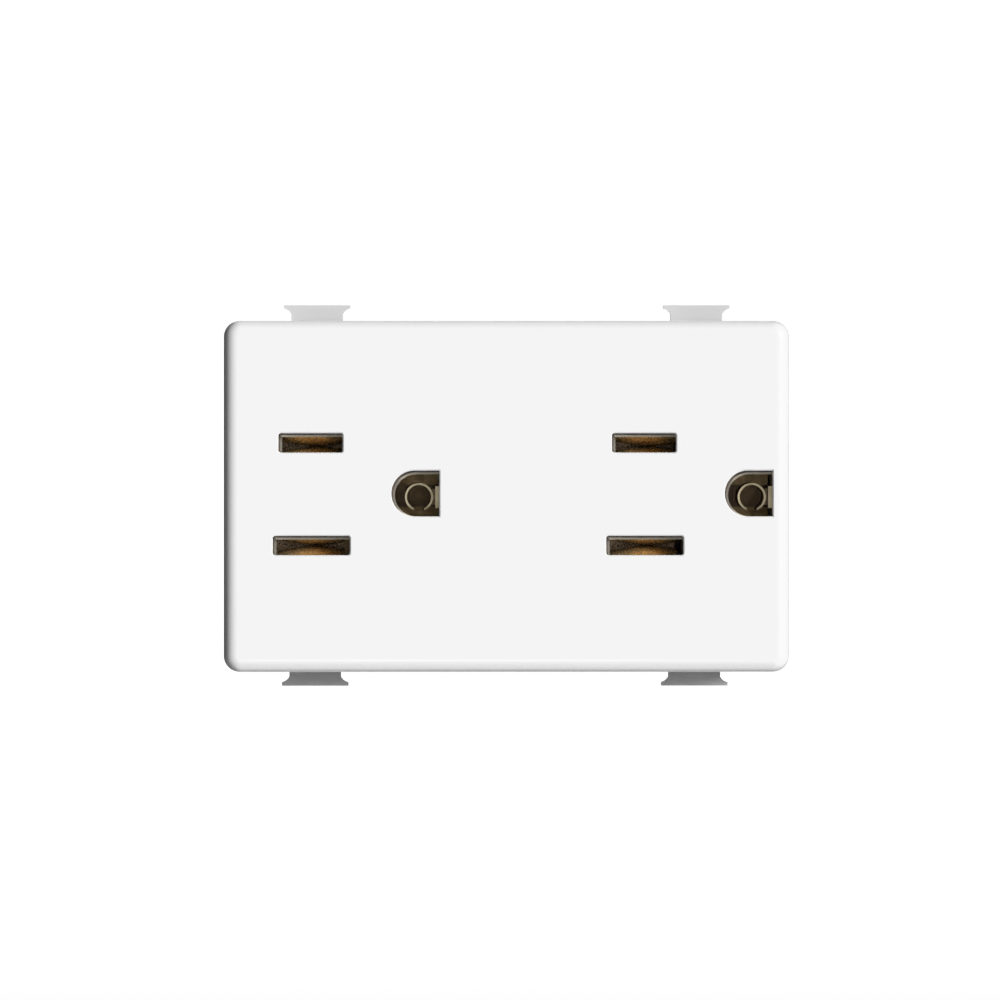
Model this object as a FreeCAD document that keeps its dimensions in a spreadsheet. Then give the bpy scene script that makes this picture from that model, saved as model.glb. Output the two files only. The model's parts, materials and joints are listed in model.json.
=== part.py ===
"""Duplex wall outlet, a three-module insert that snaps into a support frame.

Frame: X runs along the width, Y runs into the wall, Z is up. The origin is the middle of the plane where
the cover rests on the support frame, so the face lies at negative Y and the terminals at positive Y.
Lengths are in millimetres.
"""

import FreeCAD
import Part
import Sketcher

import math
import os
from types import SimpleNamespace

Vector = FreeCAD.Vector

# Driving dimensions: alias, value, what it is.
DIMENSIONS = [
    ("face_width", 70.0, "front cover, three modules wide"),
    ("face_height", 43.5, "front cover, height"),
    ("cover_depth", 10.0, "from the seat to the face"),
    ("cover_wall", 1.3, "end walls of the cover, left and right"),
    ("cover_side", 1.8, "top and bottom walls of the cover"),
    ("face_wall", 2.0, "front wall of the cover"),
    ("corner_radius", 2.0, "corners of the face outline"),
    ("edge_radius", 1.6, "rounding between face and sides"),
    ("side_rim_step", 1.0, "the cover's end walls stop this far ahead of the seat"),
    ("outlet_pitch", 41.27, "left outlet to right outlet"),
    ("slot_offset", 0.84, "neutral slots' middle, left of the contacts' middle"),
    ("hot_slot_shift", 0.09, "hot slots' middle, left of the neutral slots' middle"),
    ("slot_rise", 0.27, "the blade slots sit this far above the middle"),
    ("earth_rise", 0.36, "the earth openings sit this far above the middle"),
    ("blade_pitch", 12.7, "between the two flat blades of a plug"),
    ("hot_slot_width", 7.95, "narrow blade slot"),
    ("neutral_slot_width", 9.55, "wide blade slot"),
    ("slot_height", 2.4, "both blade slots"),
    ("slot_corner", 0.3, "corner radius of the blade slots"),
    ("earth_offset", 11.9, "blade line to the earth pin"),
    ("earth_radius", 2.84, "round end of the earth opening"),
    ("earth_flat", 3.1, "round end's centre to the flat end"),
    ("opening_bevel", 0.15, "broken front edge of the openings"),
    ("carrier_width", 67.2, "insulator that holds the contacts"),
    ("carrier_height", 26.4, "insulator that holds the contacts"),
    ("carrier_rear", 8.8, "rear face of the insulator"),
    ("lip_depth", 1.1, "thin front wall of the insulator"),
    ("lip_inset", 0.48, "the insulator's openings are this much smaller"),
    ("lip_bevel", 0.25, "broken edge of the insulator's openings"),
    ("pocket_left", 5.65, "a contact's pocket, left of the contact's middle"),
    ("pocket_right", 4.0, "a contact's pocket, right of the contact's middle"),
    ("pocket_height", 4.6, "a contact's pocket"),
    ("sleeve_pocket_left", 3.6, "a sleeve's pocket, left of the sleeve's axis"),
    ("sleeve_pocket_right", 2.75, "a sleeve's pocket, right of the sleeve's axis"),
    ("sleeve_pocket_low", 3.1, "a sleeve's pocket, below the middle"),
    ("sleeve_pocket_high", 3.2, "a sleeve's pocket, above the middle"),
    ("core_width", 5.0, "hollows between the outlets that keep the insulator's walls even"),
    ("core_height", 20.0, "the same hollows"),
    ("core_pitch", 6.4, "between neighbouring hollows"),
    ("core_shift", 4.5, "middle hollow beyond the middle between the two lines of contacts"),
    ("core_skin", 3.0, "insulator in front of the hollows"),
    ("contact_pitch", 12.3, "hot contacts to neutral contacts"),
    ("leaf_left", 5.3, "contact leaf, left of the pinch"),
    ("leaf_right", 3.3, "contact leaf, right of the pinch"),
    ("leaf_gauge", 0.45, "sheet thickness of a leaf"),
    ("leaf_mouth", 1.25, "half the gap at the front of a contact"),
    ("leaf_pinch", 0.12, "half the gap where the leaves come closest"),
    ("leaf_bow", 18.3, "radius of the leaves' bow along the pinch"),
    ("leaf_root", 1.2, "half the gap at the base of a contact"),
    ("pinch_depth", 3.3, "mouth to pinch"),
    ("root_depth", 8.0, "mouth to where the leaves run straight"),
    ("contact_base", 0.6, "thickness of a contact's base"),
    ("sleeve_bore", 1.5, "inner radius of the earth sleeve at rest"),
    ("sleeve_gauge", 0.25, "sheet thickness of the earth sleeve"),
    ("sleeve_shift", 0.65, "sleeve axis beyond the pin axis, because it opens one way"),
    ("sleeve_drop", 0.12, "sleeve axis below the middle"),
    ("sleeve_front", 5.5, "sleeve rim ahead of the seat"),
    ("sleeve_length", 10.0, "length that grips the pin"),
    ("sleeve_slit", 1.25, "gap in the sleeve"),
    ("stem_front", 6.5, "front end of the sleeve's stem ahead of the seat"),
    ("stem_inner", 2.0, "sleeve axis to the stem"),
    ("stem_gauge", 0.6, "sheet thickness of the stem and foot"),
    ("stem_width", 2.7, "width of the stem and foot"),
    ("web_height", 2.0, "web between sleeve and stem"),
    ("pad_left", 2.6, "pads of the earth bus bar under the sleeves' feet, left of a sleeve's axis"),
    ("pad_right", 2.6, "the same pads, right of a sleeve's axis"),
    ("pad_height", 6.2, "the same pads"),
    ("bus_gauge", 0.8, "bus bar thickness"),
    ("bus_width", 3.8, "bus bar width"),
    ("bend_radius", 0.6, "outside of the bend at a terminal"),
    ("tab_width", 6.0, "tab that runs back from a bus bar to its terminal"),
    ("earth_bus_front", 12.2, "front of the earth bus bar"),
    ("rivet_radius", 0.7, "rivets through contacts and bus bars"),
    ("rivet_head_radius", 1.05, "rivet head"),
    ("rivet_head", 0.35, "height of a rivet head"),
    ("housing_width", 69.8, "rear housing"),
    ("housing_height", 39.5, "rear housing, passes between the frame's rails"),
    ("housing_depth", 15.4, "first stage of the rear housing"),
    ("housing_side", 1.15, "end walls of the rear housing"),
    ("housing_wall", 1.8, "top, bottom and floor of the rear housing"),
    ("housing_bevel", 0.5, "broken edges of the rear housing"),
    ("rim_play", 0.05, "between the housing's end rims and the cover"),
    ("carrier_room", 0.3, "room above and below the insulator"),
    ("recess_wall", 1.35, "wall beside a latch's recess"),
    ("post_x", 27.0, "posts that hold the insulator forward, from the middle"),
    ("post_z", 11.6, "the same posts, from the middle"),
    ("post_width", 3.0, "the same posts"),
    ("post_height", 2.4, "the same posts"),
    ("rib_width", 1.0, "ribs on the back of the first stage"),
    ("rib_height", 1.4, "the same ribs"),
    ("end_rib_x", 25.9, "middle rib at each end"),
    ("end_rib_pitch", 2.5, "between the ribs at an end"),
    ("end_rib_length", 22.0, "ribs at the ends"),
    ("top_rib_pitch", 8.0, "between the upright ribs above the terminals"),
    ("top_rib_margin", 2.0, "upper end of the upright ribs below the housing's top"),
    ("total_depth", 27.5, "seat to the back of the terminal block"),
    ("terminal_pitch", 13.4, "between neighbouring terminals"),
    ("terminal_drop", 10.5, "terminal screws below the middle"),
    ("chamber_width", 11.6, "space around one terminal"),
    ("clamp_space_top", -5.4, "upper end of the space that holds the screw and its plate"),
    ("riser_room", 0.5, "room above a bus bar's tab"),
    ("riser_depth", 0.8, "room behind a bus bar's tab"),
    ("riser_wall", 1.4, "wall behind the tabs"),
    ("block_wall", 1.8, "walls around the terminal chambers"),
    ("rear_wall", 1.6, "back wall of the terminal chambers"),
    ("window_width", 10.4, "opening over a terminal"),
    ("window_height", 9.0, "opening over a terminal"),
    ("window_corner", 1.0, "corner radius of that opening"),
    ("entry_wall", 2.4, "lower wall of the chambers, which the wires pass"),
    ("entry_radius", 1.6, "half the depth of a wire entry"),
    ("entry_bevel", 0.6, "lead-in of a wire entry"),
    ("flange_rear", 19.6, "rear face of the plate that a wire is clamped on"),
    ("wire_gap", 3.0, "open gap for the wires"),
    ("wire_reach", 3.3, "wire centre beside the screw"),
    ("nut_size", 7.0, "square nut"),
    ("nut_height", 2.6, "square nut"),
    ("nut_bevel", 0.4, "broken corners of the nut"),
    ("thread_bore", 2.0, "radius of the tapped hole"),
    ("screw_radius", 1.93, "terminal screw shank"),
    ("screw_length", 8.4, "terminal screw below the head"),
    ("head_radius", 3.5, "terminal screw head"),
    ("head_height", 2.2, "terminal screw head"),
    ("head_crown", 0.5, "rounded rim of the head"),
    ("crown_radius", 0.7, "radius of that rim"),
    ("tip_bevel", 0.6, "tip of the shank"),
    ("slot_width", 0.95, "screwdriver slot in the head"),
    ("slot_depth", 1.1, "screwdriver slot in the head"),
    ("cross_width", 1.1, "cross recess in the head"),
    ("cross_reach", 3.5, "cross recess in the head, from end to end"),
    ("cross_depth", 1.5, "cross recess in the head"),
    ("clamp_width", 9.6, "clamping plate"),
    ("clamp_height", 8.0, "clamping plate"),
    ("clamp_gauge", 1.2, "clamping plate"),
    ("clamp_corner", 0.7, "corner radius of the clamping plate"),
    ("groove_length", 2.2, "grooves that bite into the wires"),
    ("groove_width", 0.5, "the same grooves"),
    ("groove_depth", 0.25, "the same grooves"),
    ("clamp_bore", 2.15, "radius of the hole in the clamping plate"),
    ("latch_x", 23.6, "latches from the middle"),
    ("latch_stagger", 0.25, "the upper latches sit this much further right"),
    ("latch_stem", 6.45, "width of a latch"),
    ("latch_head", 8.3, "width of the bar on a latch"),
    ("latch_top", 23.7, "tip of a latch above the middle"),
    ("latch_bar", 0.45, "thickness of that bar"),
    ("latch_neck", 1.15, "tip of a latch to the start of its neck"),
    ("neck_radius", 1.3, "flare from the neck to the bar"),
    ("latch_front", 2.1, "gap for the frame's rail, seat to latch"),
    ("latch_depth", 5.4, "lug of a latch, front to rear"),
    ("catch_rise", 1.8, "height of the face that catches the rail"),
    ("catch_run", 0.25, "how far that face leans back"),
    ("crest_end", 2.0, "latch's front to the rear end of its crest"),
    ("entry_run", 3.0, "depth of the slope that rides over the rail"),
    ("pivot_depth", 12.4, "latch pivot behind the seat"),
    ("pivot_height", 17.6, "latch pivot above the middle"),
    ("pivot_radius", 1.3, "round root of a latch"),
    ("pivot_play", 0.06, "radial play of a latch's root in its seat"),
    ("latch_gauge", 1.4, "latch arm thickness"),
    ("recess_side", 0.25, "room beside a latch"),
    ("seat_lip", 0.5, "how far the seat wraps past the middle of the root"),
    ("seat_rim", 0.1, "how far the seat's lips close in on the root"),
    ("recess_floor", 14.4, "bottom of the latch recess above the middle"),
    ("recess_foot", 2.8, "the recess's floor ends this far ahead of the pivot"),
    ("recess_back", 1.2, "the recess's upper end is this far ahead of the pivot"),
    ("boss_x", 30.6, "cover screws from the middle"),
    ("boss_z", 16.5, "cover screws from the middle"),
    ("boss_radius", 2.6, "screw boss in the cover"),
    ("pilot_radius", 1.1, "hole in the boss"),
    ("clearance_radius", 1.45, "hole in the housing for a cover screw"),
    ("cover_screw_head", 2.6, "head radius"),
    ("cover_screw_head_height", 1.8, "head height"),
    ("cover_screw_reach", 5.0, "tip of a cover screw ahead of the seat"),
    ("pilot_spare", 1.0, "hole beyond the tip of a cover screw"),
    ("thread_cover", 0.02, "gap between a cover screw and its hole"),
    ("head_play", 0.25, "room around a cover screw's head"),
    ("recess_arm", 2.6, "cross recess of a cover screw, from end to end"),
    ("recess_slot", 0.7, "cross recess of a cover screw, width"),
    ("recess_depth", 1.1, "cross recess of a cover screw"),
    ("counterbore_depth", 4.0, "from the housing's rear face"),
]

EDGE_MATCH = 1e-4
# How far a cut runs past the face it opens, and how far two pieces of one solid run into each other.
OVERCUT = 0.1
OVERLAP = 0.1


class Size:
    """A number together with the expression over the sheet that gives it."""

    def __init__(self, number, text):
        self.number = float(number)
        self.text = text

    def __add__(self, other):
        other = as_size(other)
        return Size(self.number + other.number, f"({self.text} + {other.text})")

    def __sub__(self, other):
        other = as_size(other)
        return Size(self.number - other.number, f"({self.text} - {other.text})")

    def __mul__(self, other):
        other = as_size(other)
        return Size(self.number * other.number, f"({self.text} * {other.text})")

    def __truediv__(self, other):
        other = as_size(other)
        return Size(self.number / other.number, f"({self.text} / {other.text})")

    def __pow__(self, power):
        return Size(self.number**power, f"({self.text} ^ {power})")

    def __neg__(self):
        return Size(-self.number, f"(-{self.text})")

    def __radd__(self, other):
        return as_size(other) + self

    def __rsub__(self, other):
        return as_size(other) - self

    def __rmul__(self, other):
        return as_size(other) * self


def as_size(item):
    """The item itself, or a plain number turned into a Size."""
    return item if isinstance(item, Size) else Size(item, f"({float(item)})")


doc = FreeCAD.newDocument("duplex_wall_outlet")
sheet = doc.addObject("Spreadsheet::Sheet", "dims")
dim = SimpleNamespace()
for row, (alias, number, note) in enumerate(DIMENSIONS, start=1):
    sheet.set(f"A{row}", note)
    sheet.set(f"B{row}", str(number))
    sheet.setAlias(f"B{row}", alias)
    setattr(dim, alias, Size(number, f"dims.{alias}"))
doc.recompute()

# X of the line of contacts in each outlet, Z of each pole's contacts, X of each pole's terminal.
OUTLETS = {"left": -dim.face_width / 3, "right": dim.outlet_pitch - dim.face_width / 3}
POLES = {"hot": dim.contact_pitch / 2, "neutral": -dim.contact_pitch / 2}
TERMINALS = {"hot": -dim.terminal_pitch, "earth": as_size(0), "neutral": dim.terminal_pitch}
BUS_LEVELS = {"hot": POLES["hot"], "earth": -dim.sleeve_drop, "neutral": POLES["neutral"]}
LATCHES = {
    "top_left": -dim.latch_x + dim.latch_stagger,
    "top_right": dim.latch_x + dim.latch_stagger,
    "bottom_left": -dim.latch_x,
    "bottom_right": dim.latch_x,
}

parts = []


def sleeve_axis(contact_x):
    """X of the earth sleeve that goes with a line of contacts."""
    return contact_x + dim.earth_offset + dim.sleeve_shift


def bow_rise(reach):
    """How far a leaf's bow moves away from the middle at a distance from the pinch."""
    return dim.leaf_bow - (dim.leaf_bow**2 - reach**2) ** 0.5


def block_reach():
    """Half the width of the terminal block."""
    return dim.terminal_pitch + dim.chamber_width / 2 + dim.block_wall


def riser_top(pole):
    """Upper end of the room for a bus bar's tab."""
    return BUS_LEVELS[pole] + dim.bus_width / 2 + dim.riser_room


def step_depth():
    """Rear of the terminal block above the screws, where it only has to cover the tabs."""
    return dim.flange_rear + dim.riser_depth + dim.riser_wall


# ---------------------------------------------------------------- helpers


def bind(item, prop, size):
    """Ties a property of an object to the sheet."""
    item.setExpression(prop, as_size(size).text)


def set_base(item, x, y, z):
    """Sets the place of an object's own origin."""
    bind(item, "Placement.Base.x", x)
    bind(item, "Placement.Base.y", y)
    bind(item, "Placement.Base.z", z)


def flat_point(x, y):
    """A point in a sketch."""
    return Vector(as_size(x).number, as_size(y).number, 0)


def new_body(name, x=0, z=0, flipped=False):
    """A body of its own, set at x and z. A flipped body is turned half a turn about Y."""
    body = doc.addObject("PartDesign::Body", name)
    body.Label = name
    if flipped:
        body.Placement = FreeCAD.Placement(Vector(), FreeCAD.Rotation(Vector(0, 1, 0), 180))
    bind(body, "Placement.Base.x", x)
    bind(body, "Placement.Base.z", z)
    parts.append(body)
    return body


def sketch_on(body, role, offset):
    """A sketch on an origin plane of the body, moved along the plane's normal by an offset."""
    sketch = body.newObject("Sketcher::SketchObject", "sketch")
    plane = next(f for f in body.Origin.OriginFeatures if f.Role == role)
    sketch.AttachmentSupport = (plane, [""])
    sketch.MapMode = "FlatFace"
    bind(sketch, "AttachmentOffset.Base.z", offset)
    return sketch


def at_depth(body, y):
    """A sketch across the depth axis at depth y. Its own x and y are the part's X and Z."""
    return sketch_on(body, "XZ_Plane", -y)


def constrain(sketch, size, kind, *places):
    """A sketch constraint of a kind whose number comes from a size."""
    index = sketch.addConstraint(Sketcher.Constraint(kind, *places, as_size(size).number))
    bind(sketch, f"Constraints[{index}]", size)


def place_point(sketch, geometry, end, x, y):
    """Fixes one end of a curve, or its centre, at x and y."""
    constrain(sketch, x, "DistanceX", -1, 1, geometry, end)
    constrain(sketch, y, "DistanceY", -1, 1, geometry, end)


def arc_between(start, finish, radius, turn):
    """An arc from start to finish, its centre to the left of the way for turn 1, to the right for -1."""
    chord = finish - start
    rise = math.sqrt(max(radius**2 - chord.Length**2 / 4, 0.0))
    centre = (start + finish) / 2 + Vector(-chord.y, chord.x, 0).normalize() * rise * turn
    first, last = (start, finish) if turn > 0 else (finish, start)
    angles = [math.atan2(p.y - centre.y, p.x - centre.x) for p in (first, last)]
    return Part.ArcOfCircle(Part.Circle(centre, Vector(0, 0, 1), radius), *angles)


def outline(sketch, points, bends=None):
    """A closed outline through points, each an x and a y. bends names the edges that are arcs, by the
    number of the point they leave: (radius, turn, centre_x), where centre_x is None unless the arc is
    a half circle, which its radius can't hold."""
    bends = bends or {}
    first = sketch.GeometryCount
    corners = [flat_point(x, y) for x, y in points]
    ends = []
    for i, start in enumerate(corners):
        finish = corners[(i + 1) % len(corners)]
        if i in bends:
            radius, turn, _ = bends[i]
            sketch.addGeometry(arc_between(start, finish, as_size(radius).number, turn), False)
            ends.append((1, 2) if turn > 0 else (2, 1))
        else:
            sketch.addGeometry(Part.LineSegment(start, finish), False)
            ends.append((1, 2))
    for i, (x, y) in enumerate(points):
        following = (i + 1) % len(points)
        sketch.addConstraint(
            Sketcher.Constraint("Coincident", first + i, ends[i][1], first + following, ends[following][0])
        )
        place_point(sketch, first + i, ends[i][0], x, y)
    for i, (radius, _, centre_x) in bends.items():
        if centre_x is None:
            constrain(sketch, radius, "Radius", first + i)
        else:
            constrain(sketch, centre_x, "DistanceX", -1, 1, first + i, 3)


def rectangle(sketch, x, y, width, height):
    """A rectangle about a centre."""
    low_x, high_x = x - width / 2, x + width / 2
    low_y, high_y = y - height / 2, y + height / 2
    outline(sketch, [(low_x, low_y), (high_x, low_y), (high_x, high_y), (low_x, high_y)])


def span(sketch, x_low, x_high, y_low, y_high):
    """A rectangle from its limits."""
    outline(sketch, [(x_low, y_low), (x_high, y_low), (x_high, y_high), (x_low, y_high)])


def circle(sketch, x, y, radius):
    """A circle from its centre and radius."""
    shape = Part.Circle(flat_point(x, y), Vector(0, 0, 1), as_size(radius).number)
    index = sketch.addGeometry(shape, False)
    place_point(sketch, index, 3, x, y)
    constrain(sketch, radius, "Radius", index)


def extrude(body, kind, sketch, length, reverse, midplane=False):
    """A Pad or a Pocket, with its effect on the volume checked."""
    before = body.Shape.Volume if body.Tip else 0.0
    feature = body.newObject(f"PartDesign::{kind}", kind.lower())
    feature.Profile = sketch
    bind(feature, "Length", length)
    feature.Reversed = reverse
    feature.Midplane = midplane
    doc.recompute()
    grew = feature.Shape.Volume - before
    if not feature.isValid() or (grew <= 0 if kind == "Pad" else grew >= 0):
        raise RuntimeError(f"{body.Label}: {feature.Name} changed the volume by {grew:.3f}")
    return feature


def pad_back(body, sketch, length):
    """Adds material from a depth sketch towards the wall."""
    return extrude(body, "Pad", sketch, length, True)


def cut_back(body, sketch, length):
    """Removes material from a depth sketch towards the wall."""
    return extrude(body, "Pocket", sketch, length, False)


def dress(body, kind, size, wanted):
    """A Fillet or Chamfer on every edge of the tip that wanted(edge) picks."""
    base = body.Tip
    names = [f"Edge{i}" for i, edge in enumerate(base.Shape.Edges, start=1) if wanted(edge)]
    if not names:
        raise RuntimeError(f"{body.Label}: no edge to {kind.lower()}")
    feature = body.newObject(f"PartDesign::{kind}", kind.lower())
    feature.Base = (base, names)
    bind(feature, "Radius" if kind == "Fillet" else "Size", size)
    doc.recompute()
    if not feature.isValid() or feature.Shape.Volume <= 0:
        raise RuntimeError(f"{body.Label}: {feature.Name} failed on {len(names)} edges")
    return feature


def along(edge, axis):
    """True for a straight edge that runs along an axis, 0, 1 or 2."""
    if not isinstance(edge.Curve, Part.Line):
        return False
    return abs(abs(edge.Curve.Direction[axis]) - 1) < EDGE_MATCH


def on_plane(edge, axis, position):
    """True for an edge that lies in the plane at a position along an axis."""
    box = edge.BoundBox
    low, high = [(box.XMin, box.XMax), (box.YMin, box.YMax), (box.ZMin, box.ZMax)][axis]
    return abs(low - position) < EDGE_MATCH and abs(high - position) < EDGE_MATCH


# ---------------------------------------------------------------- openings shared by cover and insulator


def blade_slots(sketch, inset):
    """Both blade slots of both outlets. An inset slot keeps its right and lower sides."""
    hot = (dim.hot_slot_width, -dim.slot_offset - dim.hot_slot_shift, dim.blade_pitch / 2)
    neutral = (dim.neutral_slot_width, -dim.slot_offset, -dim.blade_pitch / 2)
    for contact_x in OUTLETS.values():
        for width, shift, level in (hot, neutral):
            middle_x, middle_z = contact_x + shift, dim.slot_rise + level
            left, right = middle_x - width / 2 + inset, middle_x + width / 2
            low, high = middle_z - dim.slot_height / 2, middle_z + dim.slot_height / 2 - inset
            span(sketch, left, right, low, high)


def earth_openings(sketch, inset):
    """The U-shaped earth openings. An inset opening keeps its flat end and its lower side."""
    for contact_x in OUTLETS.values():
        radius = dim.earth_radius - inset / 2
        centre_x = contact_x + dim.earth_offset + inset / 2
        centre_z = dim.earth_rise - inset / 2
        flat = contact_x + dim.earth_offset + dim.earth_flat
        low, high = centre_z - radius, centre_z + radius
        outline(
            sketch,
            [(flat, low), (flat, high), (centre_x, high), (centre_x, low)],
            {2: (radius, 1, centre_x)},
        )


def screw_points():
    """X and Z of the four cover screws."""
    for sign_x in (-1, 1):
        for sign_z in (-1, 1):
            yield sign_x * dim.boss_x, sign_z * dim.boss_z


# ---------------------------------------------------------------- front cover


def front_cover():
    """Moulded shell with the face, its openings and four screw bosses."""
    body = new_body("front_cover")
    face = -dim.cover_depth.number

    blank = at_depth(body, -dim.cover_depth)
    rectangle(blank, 0, 0, dim.face_width, dim.face_height)
    pad_back(body, blank, dim.cover_depth)
    dress(body, "Fillet", dim.corner_radius, lambda e: along(e, 1))
    dress(body, "Fillet", dim.edge_radius, lambda e: on_plane(e, 1, face))

    cavity = at_depth(body, -dim.cover_depth + dim.face_wall)
    inner_width = dim.face_width - 2 * dim.cover_wall
    rectangle(cavity, 0, 0, inner_width, dim.face_height - 2 * dim.cover_side)
    cut_back(body, cavity, dim.cover_depth - dim.face_wall)

    bosses = at_depth(body, -dim.cover_depth + dim.face_wall / 2)
    for x, z in screw_points():
        circle(bosses, x, z, dim.boss_radius)
    pad_back(body, bosses, dim.cover_depth - dim.face_wall / 2)
    pilots = at_depth(body, -dim.cover_screw_reach - dim.pilot_spare)
    for x, z in screw_points():
        circle(pilots, x, z, dim.pilot_radius)
    cut_back(body, pilots, dim.cover_screw_reach + dim.pilot_spare)

    ends = at_depth(body, -dim.side_rim_step)
    inner_x = dim.face_width / 2 - dim.cover_wall - OVERCUT
    outer_x = dim.face_width / 2 + OVERCUT
    half_z = dim.housing_height / 2 + dim.rim_play
    span(ends, -outer_x, -inner_x, -half_z, half_z)
    span(ends, inner_x, outer_x, -half_z, half_z)
    cut_back(body, ends, dim.side_rim_step + OVERCUT)

    slots = at_depth(body, -dim.cover_depth - OVERCUT)
    blade_slots(slots, 0)
    cut_back(body, slots, dim.face_wall + 2 * OVERCUT)
    half = dim.face_wall.number / 2
    dress(
        body,
        "Fillet",
        dim.slot_corner,
        lambda e: along(e, 1) and abs(e.CenterOfMass.y - face - half) < EDGE_MATCH,
    )
    holes = at_depth(body, -dim.cover_depth - OVERCUT)
    earth_openings(holes, 0)
    cut_back(body, holes, dim.face_wall + 2 * OVERCUT)

    inside_x = (dim.face_width / 2 - dim.edge_radius).number
    inside_z = (dim.face_height / 2 - dim.edge_radius).number

    def opening_edge(edge):
        centre = edge.CenterOfMass
        return on_plane(edge, 1, face) and abs(centre.x) < inside_x and abs(centre.z) < inside_z

    dress(body, "Chamfer", dim.opening_bevel, opening_edge)


# ---------------------------------------------------------------- insulator and contacts


def contact_carrier():
    """Insulating block behind the face. Its pockets hold the contacts, which drop in from the rear."""
    body = new_body("contact_carrier")
    front = -dim.cover_depth + dim.face_wall
    blank = at_depth(body, front)
    rectangle(blank, 0, 0, dim.carrier_width, dim.carrier_height)
    pad_back(body, blank, dim.carrier_rear - front)

    slots = at_depth(body, front - OVERCUT)
    blade_slots(slots, dim.lip_inset)
    cut_back(body, slots, dim.lip_depth + OVERCUT)
    holes = at_depth(body, front - OVERCUT)
    earth_openings(holes, dim.lip_inset)
    cut_back(body, holes, dim.lip_depth + OVERCUT)

    pockets = at_depth(body, front + dim.lip_depth)
    half = dim.pocket_height / 2
    for contact_x in OUTLETS.values():
        left, right = contact_x - dim.pocket_left, contact_x + dim.pocket_right
        for contact_z in POLES.values():
            span(pockets, left, right, contact_z - half, contact_z + half)
        axis_x = sleeve_axis(contact_x)
        left, right = axis_x - dim.sleeve_pocket_left, axis_x + dim.sleeve_pocket_right
        span(pockets, left, right, -dim.sleeve_pocket_low, dim.sleeve_pocket_high)
    cut_back(body, pockets, dim.carrier_rear - front)

    cores = at_depth(body, front + dim.core_skin)
    middle = (OUTLETS["left"] + OUTLETS["right"]) / 2 + dim.core_shift
    for step in (-1, 0, 1):
        rectangle(cores, middle + step * dim.core_pitch, 0, dim.core_width, dim.core_height)
    cut_back(body, cores, dim.carrier_rear - front)

    inside_x = dim.carrier_width.number / 2 - EDGE_MATCH
    inside_z = dim.carrier_height.number / 2 - EDGE_MATCH

    def opening_edge(edge):
        centre = edge.CenterOfMass
        return on_plane(edge, 1, front.number) and abs(centre.x) < inside_x and abs(centre.z) < inside_z

    dress(body, "Chamfer", dim.lip_bevel, opening_edge)


def leaf_section(body, depth, gap, bowed=False):
    """One cross-section of a leaf, whose inner side is gap above the middle, and further out where a
    bowed leaf curves away on each side of the pinch."""
    sketch = at_depth(body, depth)
    left_gap, right_gap = gap, gap
    bends = {}
    if bowed:
        left_gap = gap + bow_rise(dim.leaf_left)
        right_gap = gap + bow_rise(dim.leaf_right)
        bends = {0: (dim.leaf_bow, 1, None), 2: (dim.leaf_bow, -1, None)}
    left, right = -dim.leaf_left, dim.leaf_right
    inner = [(left, left_gap), (right, right_gap)]
    outer = [(right, right_gap + dim.leaf_gauge), (left, left_gap + dim.leaf_gauge)]
    outline(sketch, inner + outer, bends)
    return sketch


def blade_contact(name, x, z):
    """Two sprung leaves that meet a plug's blade, joined by a base with a rivet hole."""
    body = new_body(name, x, z)
    mouth = -dim.cover_depth + dim.face_wall + dim.lip_depth
    rear = dim.carrier_rear
    sections = [
        leaf_section(body, mouth, dim.leaf_mouth),
        leaf_section(body, mouth + dim.pinch_depth, dim.leaf_pinch, bowed=True),
        leaf_section(body, mouth + dim.root_depth, dim.leaf_root),
    ]
    loft = body.newObject("PartDesign::AdditiveLoft", "leaf")
    loft.Profile = sections[0]
    loft.Sections = sections[1:]
    doc.recompute()
    straight = at_depth(body, mouth + dim.root_depth)
    outer = dim.leaf_root + dim.leaf_gauge
    span(straight, -dim.leaf_left, dim.leaf_right, dim.leaf_root, outer)
    shank = pad_back(body, straight, rear + dim.contact_base - mouth - dim.root_depth)
    base = at_depth(body, rear)
    span(base, -dim.leaf_left, dim.leaf_right, -outer, outer)
    pad_back(body, base, dim.contact_base)

    mirror = body.newObject("PartDesign::Mirrored", "lower_leaf")
    mirror.Originals = [loft, shank]
    plane = next(f for f in body.Origin.OriginFeatures if f.Role == "XY_Plane")
    mirror.MirrorPlane = (plane, [""])
    body.Tip = mirror
    doc.recompute()
    if len(mirror.Shape.Solids) != 1:
        raise RuntimeError(f"{body.Label}: the leaves don't meet the base")
    hole = at_depth(body, rear - OVERCUT)
    circle(hole, 0, 0, dim.rivet_radius)
    cut_back(body, hole, dim.contact_base + 2 * OVERCUT)


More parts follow.
